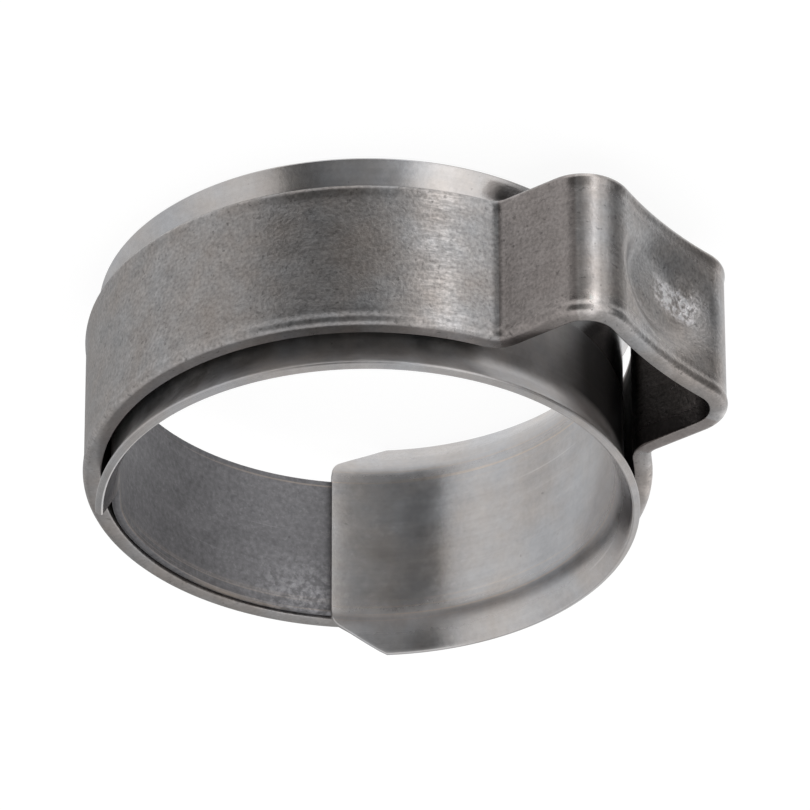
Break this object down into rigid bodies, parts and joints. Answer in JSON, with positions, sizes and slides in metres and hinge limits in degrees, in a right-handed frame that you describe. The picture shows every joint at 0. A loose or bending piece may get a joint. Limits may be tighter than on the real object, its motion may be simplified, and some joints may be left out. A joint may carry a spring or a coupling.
{
  "type": "ear hose clamp",
  "caption": "Stainless steel hose clamp: a closed band with a dimpled crimping ear, and a thin flanged insert ring whose plain tongue laps under its flanged end.",
  "frame": {"origin": "on the axis of the hose, at mid-width of the band", "axes": "+Z along the axis of the hose, +X through the middle of the ear"},
  "size_m": [0.0278, 0.0242, 0.0106],
  "materials": {
    "band_steel": "satin",
    "insert_steel": "smooth satin"
  },
  "bodies": {
    "root": {"ear_band": "band_steel", "insert_ring": "insert_steel"}
  },
  "joints": []
}
